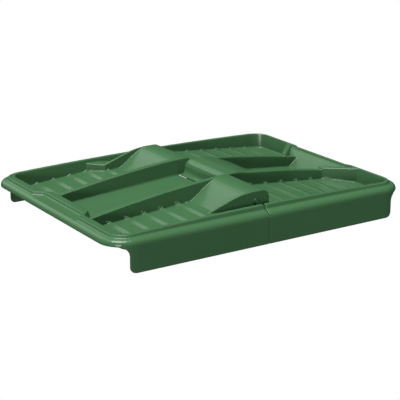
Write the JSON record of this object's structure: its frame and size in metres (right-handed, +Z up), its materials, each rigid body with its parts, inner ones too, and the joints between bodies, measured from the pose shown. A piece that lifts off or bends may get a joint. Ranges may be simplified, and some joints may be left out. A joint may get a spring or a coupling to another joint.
{
  "type": "paint roller tray",
  "caption": "Folding paint roller tray whose hinged moulded halves hold ribbed roller channels and sloping paint wells, and close face to face like a case.",
  "frame": {"origin": "on the ground under the middle of the seam between the halves, at the centre of the open tray's box", "axes": "+X along the open tray towards the half with the middle saddle, +Y across it, +Z up"},
  "size_m": [0.606, 0.45, 0.0814],
  "materials": {
    "tray_plastic": "satin moulded green polypropylene",
    "pin_plastic": "satin moulded green nylon"
  },
  "bodies": {
    "left_half": {"left_tray_half": "tray_plastic", "hinge_pin_front": "pin_plastic", "hinge_pin_back": "pin_plastic"},
    "right_half": {"right_tray_half": "tray_plastic"}
  },
  "joints": [
    {"name": "fold", "type": "hinge", "parent": "left_half", "child": "right_half", "pos_m": [0, 0, 0.0664], "axis": [0, -1, 0], "range_deg": [0, 180]}
  ]
}
